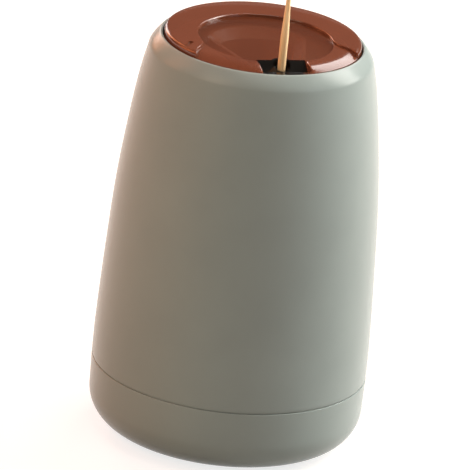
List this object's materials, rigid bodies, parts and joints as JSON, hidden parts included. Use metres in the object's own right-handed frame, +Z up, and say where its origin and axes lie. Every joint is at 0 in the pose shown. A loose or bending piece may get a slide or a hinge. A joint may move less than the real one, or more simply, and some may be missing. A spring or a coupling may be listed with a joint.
{
  "type": "toothpick dispenser",
  "caption": "Press-top toothpick dispenser: tapered round shell on a cup base, see-through lid that pushes down on a spring, and a hole at its edge where a toothpick rises.",
  "frame": {"origin": "centre of the foot ring's underside, on the table and on the dispenser's axis", "axes": "+Z up along the dispenser's axis, -Y towards the exit hole (front), +X to the right seen from the front"},
  "size_m": [0.07, 0.07, 0.1277],
  "materials": {
    "shell_gloss": "gloss sage grey moulding",
    "lid_tea": "see-through tea brown, polished",
    "exit_black": "black, half gloss",
    "bin_plastic": "dark brown, fine texture",
    "inner_plastic": "natural grey, as moulded",
    "tip_plastic": "natural white, slippery",
    "bright_steel": "drawn stainless rod",
    "spring_steel": "bright spring wire",
    "plated_screw": "bright plated",
    "soft_foot": "soft, matt",
    "soft_bush": "soft, matt",
    "pale_wood": "bare birch or bamboo, fine grain"
  },
  "bodies": {
    "housing": {"outer_shell": "shell_gloss", "base_cup": "shell_gloss", "foot_ring": "soft_foot", "base_screws": "plated_screw", "chassis_plate": "inner_plastic", "barrel_screws": "plated_screw", "guide_barrel": "inner_plastic", "ejector_rod": "bright_steel", "ejector_tip": "tip_plastic", "return_spring": "spring_steel"},
    "carriage": {"hopper_bin": "bin_plastic", "hopper_floor": "bin_plastic", "floor_screws": "plated_screw"},
    "lid": {"lid_cover": "lid_tea", "exit_guide": "exit_black", "exit_bush": "soft_bush"},
    "toothpick": {"toothpick": "pale_wood"}
  },
  "joints": [
    {"name": "press_travel", "type": "slide", "parent": "housing", "child": "carriage", "axis": [0, 0, -1], "range_m": [0, 0.026], "stiffness_N_per_m": 210, "springref_m": -0.012, "deforming": ["return_spring"]},
    {"name": "lid_lift_off", "type": "slide", "parent": "carriage", "child": "lid", "axis": [0, 0, 1], "range_m": [0, 0.05]},
    {"name": "pick_pull_out", "type": "slide", "parent": "lid", "child": "toothpick", "axis": [0, 0, 1], "range_m": [0, 0.05]}
  ]
}
